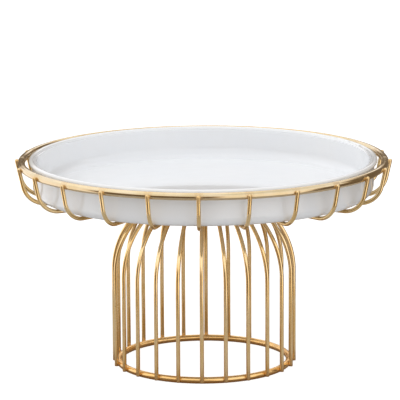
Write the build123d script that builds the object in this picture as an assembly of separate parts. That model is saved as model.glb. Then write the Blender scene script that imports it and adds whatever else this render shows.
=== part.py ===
from build123d import *
from math import cos, radians, sin, tan
import os

# Pedestal cake stand: a wire basket on a bird-cage foot, with a loose round tray in the basket.
#
# Millimetres, +Z up. The origin is on the table, at the middle of the foot. The front is -Y.
# Three rings hold the frame together: the base ring stands on the table, the hub ring lies under
# the middle of the tray, and the rim ring is the top of the basket. Dome ribs are welded to the
# outside of the base ring and to the underside of the hub ring. Basket ribs lie on the hub ring,
# run outwards, bend up round the tray and are welded to the outside of the rim ring.
# Every rib is cut to the ring's surface at its welds, so that welded pieces meet face to face.

# --- Driving dimensions -------------------------------------------------------------------------

# Wires
rim_wire = 4.0              # diameter of the rim ring's wire
base_wire = 3.6             # diameter of the base ring's wire
hub_wire = 3.2              # diameter of the hub ring's wire
rib_wire = 2.2              # diameter of every rib
weld_bite = 0.4             # how deep a rib sits in a ring at a weld
wire_end_round = 0.25       # rounding of a cut wire end
rib_count = 24              # ribs of each kind, one dome rib under each basket rib

# Rings, measured on the wire's centre line
rim_radius = 98.4
rim_height = 112.3
base_radius = 46.6

# Basket ribs
basket_depth = 19.0         # rim ring's centre down to the centre line of the level runs
basket_bend_radius = 12.5   # centre line of the bend under the tray's edge
basket_lean = 12.3          # degrees that the uprights lean outwards
tip_overrun = 0.5           # wire past the middle of the rim weld, up to the round tip's centre

# Dome ribs
dome_bend_radius = 45.0     # centre line of the bend at the top of the dome
hub_angle = 56.0            # degrees round that bend where the hub ring lies on the rib
foot_gap = 0.8              # the cut feet end this far above the table
hub_overrun = 4.0           # wire past the middle of the hub weld, on both kinds of rib

# Tray
tray_seat_gap = 0.2         # between the tray's foot and the basket ribs, so that it lifts freely
tray_play = 2.1             # between the tray's lip and the rim ring, all round
lip_rise = 2.5              # the lip's top above the rim ring's centre
lip_bead = 2.9              # diameter of the rounded lip
lip_overhang = 1.5          # the lip stands this far outside the wall
wall_thickness = 2.5
wall_draft = 2.0            # degrees that the wall opens upwards
floor_thickness = 3.0
inner_corner = 6.0          # rounding between wall and floor
foot_width = 7.0            # flat ring that the tray stands on
foot_depth = 0.8            # the underside inside that ring is raised this far
foot_slope = 1.0            # radial width of the step inside that ring
bead_blend = 0.8            # rounding where the lip meets the wall

# --- Derived places -----------------------------------------------------------------------------

rib_r = rib_wire / 2
run_height = rim_height - basket_depth
hub_height = run_height - rib_r - hub_wire / 2 + weld_bite
dome_radius = base_radius + base_wire / 2 + rib_r - weld_bite

# Centre line of a dome rib: upright, then round the dome bend. The hub ring lies on its outside.
hub_offset = rib_r + hub_wire / 2 - weld_bite
dome_spring = hub_height - (dome_bend_radius + hub_offset) * sin(radians(hub_angle))
hub_radius = dome_radius - dome_bend_radius + (dome_bend_radius + hub_offset) * cos(radians(hub_angle))
dome_angle = hub_angle + hub_overrun / radians(dome_bend_radius)

# Centre line of a basket rib's upright passes the rim ring's centre at this distance, outside it.
rim_offset = rib_r + rim_wire / 2 - weld_bite
lean = radians(basket_lean)
rim_weld_x = rim_radius + rim_offset * cos(lean)
rim_weld_z = rim_height - rim_offset * sin(lean)
run_corner_x = rim_weld_x - (rim_weld_z - run_height) * tan(lean)
bend_start_x = run_corner_x - basket_bend_radius * tan((radians(90) - lean) / 2)
bend_end_x = bend_start_x + basket_bend_radius * cos(lean)
bend_end_z = run_height + basket_bend_radius * (1 - sin(lean))
upright_length = (rim_weld_z - bend_end_z) / cos(lean) + tip_overrun
run_start_x = hub_radius - hub_overrun

# Tray levels and radii
tray_bottom = run_height + rib_r + tray_seat_gap
floor_top = tray_bottom + floor_thickness
lip_top = rim_height + lip_rise
lip_center_z = lip_top - lip_bead / 2
lip_center_x = rim_radius - rim_wire / 2 - tray_play - lip_bead / 2
wall_top_x = rim_radius - rim_wire / 2 - tray_play - lip_overhang
wall_foot_x = wall_top_x - (lip_center_z - tray_bottom) * tan(radians(wall_draft))
floor_x = wall_foot_x + floor_thickness * tan(radians(wall_draft)) - wall_thickness
outer_corner = wall_foot_x - bend_start_x     # the wall rounds into the underside over the ribs' bends
foot_x = bend_start_x - foot_width


# --- Rings --------------------------------------------------------------------------------------

def make_ring(radius, height, wire):
    """A closed ring of round wire, level, round the Z axis."""
    return Pos(0, 0, height) * Torus(radius, wire / 2)


base_ring = make_ring(base_radius, base_wire / 2, base_wire)
hub_ring = make_ring(hub_radius, hub_height, hub_wire)
rim_ring = make_ring(rim_radius, rim_height, rim_wire)


# --- Ribs, modelled in the XZ plane on the +X side ----------------------------------------------

def wire_end(x, z, x_dir, z_dir):
    """The round section of a rib at a point of its centre line, facing along the wire."""
    return Plane(origin=(x, 0, z), z_dir=(x_dir, 0, z_dir)) * Circle(rib_r)


def bent_wire(section, center_x, center_z, angle):
    """A bend of a rib: its section turned round a centre, from outwards towards upwards."""
    return revolve(section, axis=Axis((center_x, 0, center_z), (0, -1, 0)), revolution_arc=angle)


def make_dome_rib():
    """Upright from the foot, then a bend inwards that ends just past the hub ring."""
    upright = extrude(wire_end(dome_radius, foot_gap, 0, 1), dome_spring - foot_gap)
    bend = bent_wire(
        wire_end(dome_radius, dome_spring, 0, 1), dome_radius - dome_bend_radius, dome_spring, dome_angle
    )
    rib = upright + bend
    foot_edge = rib.edges().sort_by(Axis.Z)[0]
    inner_edge = rib.edges().filter_by(GeomType.CIRCLE).sort_by(Axis.X)[0]
    rib = fillet([foot_edge, inner_edge], wire_end_round)
    return rib - base_ring - hub_ring


def make_basket_rib():
    """Level run out from the hub, a bend, and a leaning upright with a round tip at the rim."""
    run = extrude(wire_end(run_start_x, run_height, 1, 0), bend_start_x - run_start_x)
    bend = bent_wire(
        wire_end(bend_start_x, run_height, 1, 0),
        bend_start_x,
        run_height + basket_bend_radius,
        90 - basket_lean,
    )
    upright = extrude(wire_end(bend_end_x, bend_end_z, sin(lean), cos(lean)), upright_length)
    tip_x = bend_end_x + upright_length * sin(lean)
    tip_z = bend_end_z + upright_length * cos(lean)
    rib = run + bend + upright + Pos(tip_x, 0, tip_z) * Sphere(rib_r)
    inner_edge = rib.edges().filter_by(GeomType.CIRCLE).sort_by(Axis.X)[0]
    rib = fillet([inner_edge], wire_end_round)
    return rib - hub_ring - rim_ring


# --- Tray ---------------------------------------------------------------------------------------

def make_tray():
    """A round dish with a beaded lip, turned from one half section."""
    draft = tan(radians(wall_draft))
    wall_height = lip_center_z - tray_bottom
    body = make_face(
        Polyline(
            (0, tray_bottom + foot_depth),
            (foot_x - foot_slope, tray_bottom + foot_depth),
            (foot_x, tray_bottom),
            (wall_foot_x, tray_bottom),
            (wall_foot_x + wall_height * draft, lip_center_z),
            (wall_foot_x + wall_height * draft - wall_thickness, lip_center_z),
            (floor_x, floor_top),
            (0, floor_top),
            close=True,
        )
    )
    outer = body.vertices().sort_by_distance((wall_foot_x, tray_bottom))[0]
    body = fillet(outer, outer_corner)
    inner = body.vertices().sort_by_distance((floor_x, floor_top))[0]
    body = fillet(inner, inner_corner)
    section = body + Pos(lip_center_x, lip_center_z) * Circle(lip_bead / 2)
    under_lip = section.vertices().sort_by_distance((wall_top_x, lip_center_z - lip_bead / 2))[0]
    section = fillet(under_lip, bead_blend)
    return revolve(Plane.XZ * section, axis=Axis.Z)


# --- Write every node ---------------------------------------------------------------------------

def around(piece, index):
    """The copy of a rib at one of the even steps round the stand, counted from the front."""
    return Rot(0, 0, -90 + index * 360 / rib_count) * piece


nodes = {"base_ring": base_ring, "hub_ring": hub_ring, "rim_ring": rim_ring, "tray": make_tray()}
dome_rib = make_dome_rib()
basket_rib = make_basket_rib()
for index in range(rib_count):
    nodes[f"dome_rib_{index + 1:02d}"] = around(dome_rib, index)
    nodes[f"basket_rib_{index + 1:02d}"] = around(basket_rib, index)

os.makedirs("parts", exist_ok=True)
for name, shape in nodes.items():
    export_step(shape, f"parts/{name}.step")
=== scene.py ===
from collections import namedtuple
from math import cos, pi, radians, sin

import bpy
from mathutils import Euler, Matrix, Vector


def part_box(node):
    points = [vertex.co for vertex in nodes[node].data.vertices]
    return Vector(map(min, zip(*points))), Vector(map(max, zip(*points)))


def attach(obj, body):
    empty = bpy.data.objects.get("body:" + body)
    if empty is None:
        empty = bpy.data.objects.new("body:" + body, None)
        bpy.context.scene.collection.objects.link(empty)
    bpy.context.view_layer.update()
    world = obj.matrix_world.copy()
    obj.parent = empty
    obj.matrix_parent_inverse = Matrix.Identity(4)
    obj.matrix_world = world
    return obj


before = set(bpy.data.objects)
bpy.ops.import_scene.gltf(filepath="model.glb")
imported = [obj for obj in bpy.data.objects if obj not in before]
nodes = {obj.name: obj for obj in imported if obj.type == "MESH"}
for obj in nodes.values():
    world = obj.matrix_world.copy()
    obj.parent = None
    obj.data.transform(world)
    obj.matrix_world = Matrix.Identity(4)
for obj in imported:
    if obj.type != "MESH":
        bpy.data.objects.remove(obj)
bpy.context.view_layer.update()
scene = bpy.context.scene

MM = 0.001


# --- Sizes of the frame --------------------------------------------------------------------------

RIB_COUNT = 24              # ribs of each kind
RIB_STEP = 360 / RIB_COUNT  # degrees from one rib to the next
FIRST_RIB = -90             # degrees round from +X to the first rib, at the front
BASKET_LEAN = 12.3          # degrees that the basket's uprights lean outwards
HUB_ANGLE = 56.0            # degrees above level, from the middle of a dome rib's bend to the hub ring

Ring = namedtuple("Ring", "radius wire height")


def ring_size(node):
    """A ring's radius to the middle of its wire, its wire's radius, and the height of its middle."""
    low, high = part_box(node)
    wire = (high[2] - low[2]) / 2
    return Ring((high[0] - low[0]) / 2 - wire, wire, (low[2] + high[2]) / 2)


RIM = ring_size("rim_ring")
BASE = ring_size("base_ring")
HUB = ring_size("hub_ring")


# --- Camera --------------------------------------------------------------------------------------

CAMERA_DISTANCE = 1.6       # from the middle of the cage to the lens
CAMERA_RISE = 12.7          # degrees above level
CAMERA_TURN = 1.4           # degrees to the right of straight in front
CAMERA_TILT = 1.209         # degrees that it looks above the middle of the cage
CAMERA_PAN = 0.067          # degrees that it looks to the left of the axis
CAMERA_ROLL = -0.327        # degrees that it is turned about its own line of sight
CAMERA_LENS = 263.9         # millimetres
CAMERA_FILM = 36            # width of the film, in millimetres
CAMERA_SIGHT = 100          # how far it sees
CAGE_MIDDLE = 0.0561        # height of the point that the distance is measured from


def add_camera():
    """A long lens, a little above the tray, turned slightly to the right of the front."""
    rise, turn = radians(CAMERA_RISE), radians(CAMERA_TURN)
    place = Vector((sin(turn) * cos(rise), -cos(turn) * cos(rise), sin(rise))) * CAMERA_DISTANCE
    place.z += CAGE_MIDDLE
    aim = Euler((pi / 2 - rise + radians(CAMERA_TILT), 0, turn + radians(CAMERA_PAN))).to_matrix()
    aim = aim @ Matrix.Rotation(radians(CAMERA_ROLL), 3, "Z")
    bpy.ops.object.camera_add(location=place, rotation=aim.to_euler())
    camera = bpy.context.object
    camera.name = "camera"
    camera.data.lens = CAMERA_LENS
    camera.data.sensor_width = CAMERA_FILM
    camera.data.clip_end = CAMERA_SIGHT
    scene.camera = camera


add_camera()


# --- Shader nodes --------------------------------------------------------------------------------

def add(tree, kind, inputs=None, **settings):
    """A shader node with its settings. Each input is given a value, or is linked if it gets a socket."""
    made = tree.nodes.new(kind)
    for name, value in settings.items():
        setattr(made, name, value)
    for name, value in (inputs or {}).items():
        if isinstance(value, bpy.types.NodeSocket):
            tree.links.new(value, made.inputs[name])
        else:
            made.inputs[name].default_value = value
    return made


def calc(tree, operation, first, second=0.0, clamp=False):
    """One sum on two numbers."""
    return add(tree, "ShaderNodeMath", {0: first, 1: second}, operation=operation, use_clamp=clamp).outputs[0]


def times(tree, first, second):
    """Two numbers multiplied."""
    return calc(tree, "MULTIPLY", first, second)


def raised(tree, value, mark, amount, clamp=False):
    """A number, and so much more of it where a mark is, 0 to 1."""
    return calc(tree, "ADD", value, times(tree, mark, amount), clamp)


def fade(tree, value, start, end, low=0.0, high=1.0):
    """Goes smoothly from low to high while a value goes from start to end."""
    inputs = {"Value": value, "From Min": start, "From Max": end, "To Min": low, "To Max": high}
    return add(tree, "ShaderNodeMapRange", inputs, interpolation_type="SMOOTHSTEP").outputs["Result"]


def blend(tree, factor, first, second):
    """A colour between two colours."""
    made = add(tree, "ShaderNodeMix", data_type="RGBA")
    for socket, value in ((made.inputs[0], factor), (made.inputs[6], first), (made.inputs[7], second)):
        if isinstance(value, bpy.types.NodeSocket):
            tree.links.new(value, socket)
        elif isinstance(value, (int, float)):
            socket.default_value = value
        else:
            socket.default_value = (*value, 1)
    return made.outputs[2]


def stained(tree, color, stain, mark, amount):
    """A colour with so much of a stain where a mark is, 0 to 1."""
    return blend(tree, times(tree, mark, amount), color, stain)


def noise(tree, place, scale, detail=3.0, rough=0.5):
    """Cloudy noise, 0 to 1. Its scale is how fine it is, in patches per metre."""
    inputs = {"Vector": place, "Scale": scale, "Detail": detail, "Roughness": rough}
    return add(tree, "ShaderNodeTexNoise", inputs).outputs[0]


def speckle(tree, place, scale, size):
    """Small round spots, one at most in each cell: 1 in a spot and 0 outside it."""
    cells = add(tree, "ShaderNodeTexVoronoi", {"Vector": place, "Scale": scale})
    return fade(tree, cells.outputs["Distance"], size, size * 0.4)


def bump(tree, height, distance, strength=1.0, under=None):
    """A surface relief, so many metres deep where its height goes from 0 to 1."""
    inputs = {"Height": height, "Distance": distance, "Strength": strength}
    if under:
        inputs["Normal"] = under
    return add(tree, "ShaderNodeBump", inputs).outputs[0]


def pits(tree, spots, distance, strength, under):
    """A relief that is sunk in small spots."""
    return bump(tree, calc(tree, "SUBTRACT", 1.0, spots), distance, strength, under)


def new_finish(name):
    """An empty material: the material, its node tree, its shader and the place on the piece."""
    finish = bpy.data.materials.new(name)
    finish.use_nodes = True
    tree = finish.node_tree
    place = add(tree, "ShaderNodeTexCoord").outputs["Object"]
    return finish, tree, tree.nodes["Principled BSDF"], place


# Where a point is, seen from the stand's axis: distance, height, direction outwards and angle round it
Axis = namedtuple("Axis", "radius height outwards angle")


def round_axis(tree, place):
    """Where a point is, seen from the stand's axis."""
    parts = add(tree, "ShaderNodeSeparateXYZ", {0: place}).outputs
    flat = add(tree, "ShaderNodeCombineXYZ", {0: parts[0], 1: parts[1]}).outputs[0]
    radius = add(tree, "ShaderNodeVectorMath", {0: flat}, operation="LENGTH").outputs["Value"]
    outwards = add(tree, "ShaderNodeVectorMath", {0: flat}, operation="NORMALIZE").outputs["Vector"]
    angle = calc(tree, "ARCTAN2", parts[1], parts[0])
    return Axis(radius, parts[2], outwards, angle)


def rings_round(tree, axis, along, across, detail=2.0):
    """Noise drawn out into lines that run round the stand's axis."""
    inputs = {0: axis.outwards, "Scale": along}
    turned = add(tree, "ShaderNodeVectorMath", inputs, operation="SCALE").outputs[0]
    parts = add(tree, "ShaderNodeSeparateXYZ", {0: turned}).outputs
    lifted = times(tree, axis.height, across)
    lines = add(tree, "ShaderNodeCombineXYZ", {0: parts[0], 1: parts[1], 2: lifted}).outputs[0]
    inputs = {"Vector": lines, "W": times(tree, axis.radius, across), "Scale": 1.0, "Detail": detail}
    return add(tree, "ShaderNodeTexNoise", inputs, noise_dimensions="4D").outputs[0]


# --- Studio --------------------------------------------------------------------------------------

CLEAR = (1.0, 1.0, 1.0)
TABLE_SIDES = 96
TABLE_ROUGHNESS = 0.7
FOOT_SHADE_START = 52 * MM  # from the axis to where the shade round the foot starts to clear
FOOT_SHADE_END = 84 * MM    # from the axis to where it is gone
FOOT_SHADE = (0.50, 0.38, 0.26)


def facing(azimuth, elevation):
    """A direction: degrees to the right of the front, and degrees above level."""
    turn, rise = radians(azimuth), radians(elevation)
    return Vector((sin(turn) * cos(rise), -cos(turn) * cos(rise), sin(rise)))


def add_table(name, seen_by, radius, tone, glow, round_foot=CLEAR):
    """A pale round table top for one kind of light. Its glow softens the shadows on it.

    round_foot is how much of each colour it keeps close round the foot, under the stand.
    """
    bpy.ops.mesh.primitive_circle_add(
        vertices=TABLE_SIDES, radius=radius, fill_type="NGON", location=(0, 0, 0)
    )
    table = bpy.context.object
    table.name = name
    finish, tree, shader, place = new_finish(name)
    away = add(tree, "ShaderNodeVectorMath", {0: place}, operation="LENGTH").outputs["Value"]
    clear = fade(tree, away, FOOT_SHADE_START, FOOT_SHADE_END)
    shade = tuple(tone * part for part in round_foot)
    tree.links.new(blend(tree, clear, shade, (tone, tone, tone)), shader.inputs["Base Color"])
    tree.links.new(blend(tree, clear, round_foot, CLEAR), shader.inputs["Emission Color"])
    shader.inputs["Roughness"].default_value = TABLE_ROUGHNESS
    shader.inputs["Emission Strength"].default_value = glow
    table.data.materials.append(finish)
    for kind in ("camera", "diffuse", "glossy", "transmission"):
        setattr(table, f"visible_{kind}", kind == seen_by)
    table.visible_shadow = seen_by == "camera"


def add_softbox(name, strength, spread, azimuth, elevation, color):
    """A soft light from far away. Spread is its width in the sky, in degrees."""
    aim = (-facing(azimuth, elevation)).to_track_quat("-Z", "Y").to_euler()
    bpy.ops.object.light_add(type="SUN", rotation=aim)
    light = bpy.context.object
    light.name = name
    light.data.energy = strength
    light.data.angle = radians(spread)
    light.data.color = color


# Heights in the room are the sine of the angle above level.
LEVEL_LIGHT = 1.25
OVERHEAD_LIGHT = 0.98
OVERHEAD_START = 0.45       # the overhead light starts to take over here
OVERHEAD_END = 0.90
LEVEL_TINT = (1.0, 0.95, 0.91)
OVERHEAD_TINT = (0.975, 0.985, 1.0)
TINT_START = -0.1
TINT_END = 0.4

# Dark screens round the stand: degrees to the right of the front, degrees to each side that they reach, and
# the heights where they start to fade and are gone
SCREENS = (
    (-30, 50, 0.10, 0.30),
    (100, 34, 0.10, 0.30),
    (132, 34, 0.45, 0.70),
    (180, 34, 0.18, 0.34),
)
SCREEN_CORE = 0.6           # part of its reach where a screen is fully dark
SCREEN_LIGHT = 0.16         # part of the light that is left in front of a screen
SCREEN_TINT = (1.0, 0.76, 0.52)


def add_room():
    """The room: evenly bright overhead, and bright level with the stand, apart from the dark screens."""
    world = bpy.data.worlds.new("room")
    scene.world = world
    world.use_nodes = True
    tree = world.node_tree
    way = add(tree, "ShaderNodeTexCoord").outputs["Generated"]
    parts = add(tree, "ShaderNodeSeparateXYZ", {0: way}).outputs
    height = parts[2]
    level = add(tree, "ShaderNodeCombineXYZ", {0: parts[0], 1: parts[1]}).outputs[0]
    level = add(tree, "ShaderNodeVectorMath", {0: level}, operation="NORMALIZE").outputs["Vector"]
    bare = 1.0
    for azimuth, reach, start, end in SCREENS:
        near = add(tree, "ShaderNodeVectorMath", {0: level, 1: facing(azimuth, 0)}, operation="DOT_PRODUCT")
        core_edge, outer_edge = cos(radians(reach * SCREEN_CORE)), cos(radians(reach))
        beside = fade(tree, near.outputs["Value"], core_edge, outer_edge)
        past = calc(tree, "MAXIMUM", beside, fade(tree, height, start, end))
        bare = times(tree, bare, past)
    light = fade(tree, height, OVERHEAD_START, OVERHEAD_END, LEVEL_LIGHT, OVERHEAD_LIGHT)
    light = times(tree, light, fade(tree, bare, 0, 1, SCREEN_LIGHT, 1))
    tint = blend(tree, fade(tree, height, TINT_START, TINT_END), LEVEL_TINT, OVERHEAD_TINT)
    tint = blend(tree, bare, SCREEN_TINT, tint)
    background = tree.nodes["Background"]
    tree.links.new(tint, background.inputs["Color"])
    tree.links.new(light, background.inputs["Strength"])


add_table("table", "camera", radius=12, tone=0.9, glow=0.75)
add_table("table_that_lights_the_stand", "diffuse", radius=3, tone=0.56, glow=0.08)
add_table("table_in_the_wires", "glossy", radius=0.22, tone=0.9, glow=0.16, round_foot=FOOT_SHADE)
add_room()
add_softbox("overhead", strength=0.36, spread=70, azimuth=-110, elevation=70, color=(1, 0.99, 0.97))
scene.view_settings.view_transform = "Standard"


# --- Finishes of the wires -----------------------------------------------------------------------

# Two tones of plating for each kind of wire. The wires carry one plating; the tones differ from kind to kind
# as painted light and shade, set to how each wire is lit: the rim ring's darker and paler, the base ring's
# deeper
BASKET_TONES = ((0.86, 0.61, 0.27), (0.90, 0.69, 0.38))
CAGE_TONES = ((0.92, 0.64, 0.28), (0.94, 0.71, 0.39))
RIM_TONES = ((0.70, 0.55, 0.32), (0.76, 0.62, 0.41))
BASE_TONES = ((0.87, 0.54, 0.20), (0.93, 0.62, 0.27))
# dark brown: real tarnish in the drawing lines and specks, and painted shade along the wires' bottom edge
TARNISH_AND_SHADE = (0.44, 0.22, 0.08)
HEAT_TINT = (0.62, 0.38, 0.17)

# How fine each mark is, in patches per metre
CLOUDS = 55                 # the plating's two tones
SMUDGES = 120
THIN_PLATING = 260
SPECKS = 900
DENTS = 110
WELD_GRAIN = 2600
LINES_ACROSS = 5200         # drawing lines, across the wire
LINES_ALONG = 130           # drawing lines, along the wire
RING_LINES_ROUND = 18       # drawing lines, round a ring
RUN_LINES_ROUND = 260       # drawing lines, from side to side of a level run

# How much of each mark shows in the colour
THIN_SHOWS = 0.14
LINES_SHOW = 0.05
SPECKS_SHOW = 0.45
WELD_SHOWS = 0.28
LOW_EDGE_SHADE_SHOWS = 0.65

# How much rougher the gold is where a mark is
LINES_ROUGHEN = 0.05
SMUDGES_ROUGHEN = 0.10
WELD_ROUGHENS = 0.16

DENT_DEPTH = 0.04 * MM
LINE_DEPTH = 0.002 * MM
WELD_GRAIN_DEPTH = 0.03 * MM
SPECK_DEPTH = 0.02 * MM

LOW_EDGE_SHADE_TOP = 2.0 * MM        # height where the painted shade along the wires' bottom edge is gone
LOW_EDGE_SHADE_FULL = 0.6 * MM       # height where it is full
RUN_END = 70 * MM           # from the axis to where a basket rib's level run starts to turn up
UPRIGHT_START = 88 * MM     # from the axis to where it has turned up
RING_WELD_NEAR = 1.2 * MM   # a weld's mark on a ring is full this close to the rib's middle
RING_WELD_FAR = 3.2 * MM    # and gone this far from it
WELD_NEAR = 1.5 * MM        # a weld's mark on a rib is full this close to the ring's middle
WELD_FAR = 4 * MM           # and gone this far from it
CAGE_TOP_NEAR = 2 * MM      # the same under the hub ring, on a dome rib
CAGE_TOP_FAR = 5 * MM
COAT = 0.35
COAT_ROUGHNESS = 0.08


def gold_finish(name, lines_for, welds_for, rough, tones):
    """Polished gold plating on drawn wire, between two tones. rough is the roughness of clean wire.

    lines_for gives the drawing lines along a kind of wire, and welds_for how close a weld is, 0 to 1.
    """
    finish, tree, shader, place = new_finish(name)
    axis = round_axis(tree, place)
    lines = lines_for(tree, place, axis)
    weld = welds_for(tree, axis)

    # the plating is thicker in some places than in others, and dull where it was handled
    cloud = noise(tree, place, CLOUDS, 3)
    thin = fade(tree, noise(tree, place, THIN_PLATING, 4, 0.6), 0.52, 0.72)
    smudge = fade(tree, noise(tree, place, SMUDGES, 5, 0.65), 0.48, 0.66)
    specks = speckle(tree, place, SPECKS, 0.14)
    color = blend(tree, fade(tree, cloud, 0.35, 0.65), *tones)
    color = stained(tree, color, HEAT_TINT, thin, THIN_SHOWS)
    color = stained(tree, color, TARNISH_AND_SHADE, fade(tree, lines, 0.35, 0.7), LINES_SHOW)
    color = stained(tree, color, TARNISH_AND_SHADE, specks, SPECKS_SHOW)
    color = stained(tree, color, HEAT_TINT, weld, WELD_SHOWS)
    # painted shade: the wires are darker along their bottom edge, where they stand on the table
    color = stained(tree, color, TARNISH_AND_SHADE, fade(tree, axis.height, LOW_EDGE_SHADE_TOP, LOW_EDGE_SHADE_FULL), LOW_EDGE_SHADE_SHOWS)
    tree.links.new(color, shader.inputs["Base Color"])

    rough = fade(tree, lines, 0.2, 0.8, rough - LINES_ROUGHEN, rough + LINES_ROUGHEN)
    rough = raised(tree, rough, smudge, SMUDGES_ROUGHEN)
    rough = raised(tree, rough, weld, WELD_ROUGHENS, clamp=True)
    tree.links.new(rough, shader.inputs["Roughness"])

    relief = bump(tree, noise(tree, place, DENTS, 2), DENT_DEPTH, 0.25)
    relief = bump(tree, lines, LINE_DEPTH, 0.3, relief)
    relief = bump(tree, noise(tree, place, WELD_GRAIN, 2), WELD_GRAIN_DEPTH, times(tree, weld, 0.7), relief)
    relief = pits(tree, specks, SPECK_DEPTH, 0.6, relief)
    tree.links.new(relief, shader.inputs["Normal"])

    shader.inputs["Metallic"].default_value = 1
    shader.inputs["Coat Weight"].default_value = COAT
    shader.inputs["Coat Roughness"].default_value = COAT_ROUGHNESS
    return finish


def ring_lines(tree, place, axis):
    """Drawing lines that run round a ring."""
    return rings_round(tree, axis, RING_LINES_ROUND, LINES_ACROSS)


def upright_lines(tree, place, axis):
    """Drawing lines that run up an upright wire."""
    scale = (LINES_ACROSS, LINES_ACROSS, LINES_ALONG)
    return noise(tree, add(tree, "ShaderNodeMapping", {0: place, "Scale": scale}).outputs[0], 1, 2)


def basket_lines(tree, place, axis):
    """Drawing lines that run up a basket rib's upright and out along its level run."""
    up = upright_lines(tree, place, axis)
    level = times(tree, axis.angle, RUN_LINES_ROUND)
    along = times(tree, axis.radius, LINES_ALONG)
    deep = times(tree, axis.height, LINES_ACROSS)
    run = noise(tree, add(tree, "ShaderNodeCombineXYZ", {0: level, 1: along, 2: deep}).outputs[0], 1, 2)
    turned_up = fade(tree, axis.radius, RUN_END, UPRIGHT_START)
    made = add(tree, "ShaderNodeMix", {0: turned_up}, data_type="FLOAT")
    tree.links.new(run, made.inputs[2])
    tree.links.new(up, made.inputs[3])
    return made.outputs[0]


def ring_welds(tree, axis):
    """How close the nearest rib's weld is, on a ring: the ribs stand at even steps of angle."""
    off = calc(tree, "PINGPONG", axis.angle, pi / RIB_COUNT)
    return fade(tree, times(tree, off, axis.radius), RING_WELD_FAR, RING_WELD_NEAR)


def basket_welds(tree, axis):
    """How close the hub ring's or the rim ring's weld is, on a basket rib."""
    rim = fade(tree, axis.height, RIM.height - WELD_FAR, RIM.height - WELD_NEAR)
    hub = fade(tree, axis.radius, HUB.radius + WELD_FAR, HUB.radius + WELD_NEAR)
    return calc(tree, "MAXIMUM", rim, hub)


def cage_welds(tree, axis):
    """How close the base ring's or the hub ring's weld is, on a dome rib."""
    base = fade(tree, axis.height, BASE.height + WELD_FAR, BASE.height + WELD_NEAR)
    hub = fade(tree, axis.height, HUB.height - CAGE_TOP_FAR, HUB.height - CAGE_TOP_NEAR)
    return calc(tree, "MAXIMUM", base, hub)


def all_weld(tree, axis):
    """A bead is weld metal all over."""
    return 1.0


rim_gold = gold_finish("gold_rim_wire", ring_lines, ring_welds, 0.099, RIM_TONES)
base_gold = gold_finish("gold_base_wire", ring_lines, ring_welds, 0.121, BASE_TONES)
basket_gold = gold_finish("gold_basket_wire", basket_lines, basket_welds, 0.143, BASKET_TONES)
cage_gold = gold_finish("gold_cage_wire", upright_lines, cage_welds, 0.132, CAGE_TONES)
weld_gold = gold_finish("gold_weld", upright_lines, all_weld, 0.242, BASKET_TONES)


# --- Glaze ---------------------------------------------------------------------------------------

GLAZE = (0.86, 0.868, 0.88)
GLAZE_THIN = (0.80, 0.785, 0.76)
GLAZE_POOL = (0.84, 0.856, 0.88)
CLAY = (0.60, 0.55, 0.48)

# How fine each mark is, in patches per metre
GLAZE_CLOUDS = 24           # where the glaze pooled
MOTTLE = 160
PINHOLES = 330
WAVES = 95
CLAY_GRAIN = 1900
RIDGES_ROUND = 1.2          # the turning ridges under the glaze, round the tray
RIDGES_ACROSS = 420         # and across it
SCUFFS_ROUND = 30
SCUFFS_ACROSS = 1900

WAVE_DEPTH = 0.12 * MM
RIDGE_DEPTH = 0.05 * MM
PINHOLE_DEPTH = 0.06 * MM
CLAY_DEPTH = 0.05 * MM

# How much of each mark shows in the colour
MOTTLE_SHOWS = 0.10
POOL_SHOWS = 0.35
LIP_SHOWS = 0.30
PINHOLES_SHOW = 0.45

# How much rougher the tray is where a mark is
SCUFFS_ROUGHEN = 0.10
CLAY_ROUGHENS = 0.6

GLAZE_COAT = 0.5
GLAZE_COAT_ROUGHNESS = 0.03
GLAZE_SHINE = 0.5


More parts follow.
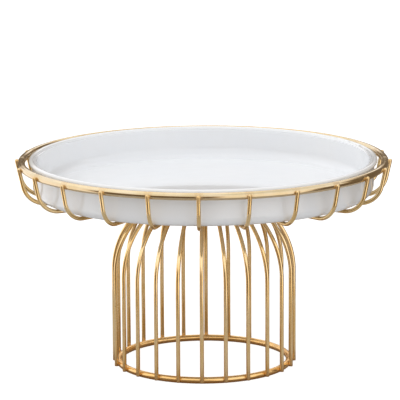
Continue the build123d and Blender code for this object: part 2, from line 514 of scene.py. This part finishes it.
def tray_glaze():
    """Glossy white glaze: thin over the lip, pooled in the corner, wiped off the foot ring."""
    finish, tree, shader, place = new_finish("white_glaze")
    axis = round_axis(tree, place)
    low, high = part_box("tray")
    lip_radius, bottom, top = high[0], low[2], high[2]
    foot = fade(tree, axis.height, bottom + 0.45 * MM, bottom + 0.15 * MM)
    lip = fade(tree, axis.height, top - 1.1 * MM, top - 0.2 * MM)
    wall = fade(tree, axis.radius, lip_radius - 14 * MM, lip_radius - 9 * MM)
    corner = times(tree, wall, fade(tree, axis.height, bottom + 8 * MM, bottom + 5 * MM))

    cloud = noise(tree, place, GLAZE_CLOUDS, 3)
    mottle = noise(tree, place, MOTTLE, 4, 0.6)
    pinholes = speckle(tree, place, PINHOLES, 0.055)
    ridges = rings_round(tree, axis, RIDGES_ROUND, RIDGES_ACROSS)
    scuffs = rings_round(tree, axis, SCUFFS_ROUND, SCUFFS_ACROSS, 4.0)

    color = blend(tree, fade(tree, cloud, 0.3, 0.7), GLAZE, GLAZE_POOL)
    color = stained(tree, color, GLAZE_THIN, fade(tree, mottle, 0.4, 0.75), MOTTLE_SHOWS)
    color = stained(tree, color, GLAZE_POOL, corner, POOL_SHOWS)
    color = stained(tree, color, GLAZE_THIN, lip, LIP_SHOWS)
    color = stained(tree, color, CLAY, pinholes, PINHOLES_SHOW)
    color = blend(tree, foot, color, CLAY)
    tree.links.new(color, shader.inputs["Base Color"])

    rough = fade(tree, mottle, 0.3, 0.7, 0.07, 0.13)
    rough = calc(tree, "ADD", rough, fade(tree, scuffs, 0.6, 0.78, 0, SCUFFS_ROUGHEN))
    rough = raised(tree, rough, foot, CLAY_ROUGHENS, clamp=True)
    tree.links.new(rough, shader.inputs["Roughness"])

    relief = bump(tree, noise(tree, place, WAVES, 2), WAVE_DEPTH, 0.45)
    relief = bump(tree, ridges, RIDGE_DEPTH, 0.4, relief)
    relief = pits(tree, pinholes, PINHOLE_DEPTH, 0.6, relief)
    relief = bump(tree, noise(tree, place, CLAY_GRAIN, 2), CLAY_DEPTH, foot, relief)
    tree.links.new(relief, shader.inputs["Normal"])

    shader.inputs["Specular IOR Level"].default_value = GLAZE_SHINE
    shader.inputs["Coat Weight"].default_value = GLAZE_COAT
    shader.inputs["Coat Roughness"].default_value = GLAZE_COAT_ROUGHNESS
    return finish


white_glaze = tray_glaze()


# --- Weld beads ----------------------------------------------------------------------------------

# Sizes of a bead: radially through it, round the ring, and up
RIM_BEAD = (0.8 * MM, 2.7 * MM, 1.5 * MM)
BASE_BEAD = (0.7 * MM, 2.5 * MM, 1.3 * MM)
HUB_BEAD = (1.0 * MM, 2.9 * MM, 1.9 * MM)
BEAD_LUMPS = 0.10 * MM      # how uneven a bead is


def make_bead(name, size, seed):
    """A flattened, slightly lumpy bead of weld metal: a ball one metre across, squeezed to its size."""
    bpy.ops.object.select_all(action="DESELECT")
    bpy.ops.mesh.primitive_ico_sphere_add(subdivisions=2, radius=0.5, location=(0, 0, 0))
    bead = bpy.context.object
    bead.name = name
    bpy.ops.object.mode_set(mode="EDIT")
    bpy.ops.mesh.select_all(action="SELECT")
    bpy.ops.transform.resize(value=size)
    bpy.ops.transform.vertex_random(offset=BEAD_LUMPS, uniform=0.2, normal=0.6, seed=seed)
    bpy.ops.mesh.vertices_smooth(factor=0.4, repeat=1)
    bpy.ops.mesh.normals_make_consistent(inside=False)
    bpy.ops.object.mode_set(mode="OBJECT")
    bpy.ops.object.modifier_add(type="SUBSURF")
    bead.modifiers[0].levels = 1
    bead.modifiers[0].render_levels = 1
    bpy.ops.object.modifier_apply(modifier=bead.modifiers[0].name)
    bpy.ops.object.shade_smooth()
    bead.data.materials.append(weld_gold)
    return bead


def weld_round(name, ring, toward, size, seed):
    """One bead at each rib, on the side of a ring that faces so many degrees up from outwards."""
    tilt = radians(toward)
    out = ring.radius + ring.wire * cos(tilt)
    rise = ring.height + ring.wire * sin(tilt)
    first = make_bead(f"{name}_01", size, seed)
    first.data.transform(Matrix.Rotation(-tilt, 4, "Y"))
    first.data.transform(Matrix.Translation((out, 0, rise)))
    beads = [first]
    for number in range(2, RIB_COUNT + 1):
        bead = first.copy()
        bead.data = first.data.copy()
        bead.name = f"{name}_{number:02d}"
        scene.collection.objects.link(bead)
        beads.append(bead)
    for index, piece in enumerate(beads):
        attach(piece, "frame")
        piece.data.transform(Matrix.Rotation(radians(FIRST_RIB + index * RIB_STEP), 4, "Z"))


weld_round("weld_rim", RIM, -BASKET_LEAN, RIM_BEAD, seed=3)
weld_round("weld_base", BASE, 0, BASE_BEAD, seed=5)
weld_round("weld_hub_top", HUB, 90, HUB_BEAD, seed=7)
weld_round("weld_hub_under", HUB, 180 + HUB_ANGLE, HUB_BEAD, seed=9)


# --- Finishes go on the nodes --------------------------------------------------------------------

def dress():
    """Every node gets its finish."""
    for name, node in nodes.items():
        if name == "tray":
            finish = white_glaze
        elif name.startswith("dome_rib"):
            finish = cage_gold
        elif name.startswith("basket_rib"):
            finish = basket_gold
        elif name == "rim_ring":
            finish = rim_gold
        else:
            finish = base_gold
        node.data.materials.clear()
        node.data.materials.append(finish)


dress()
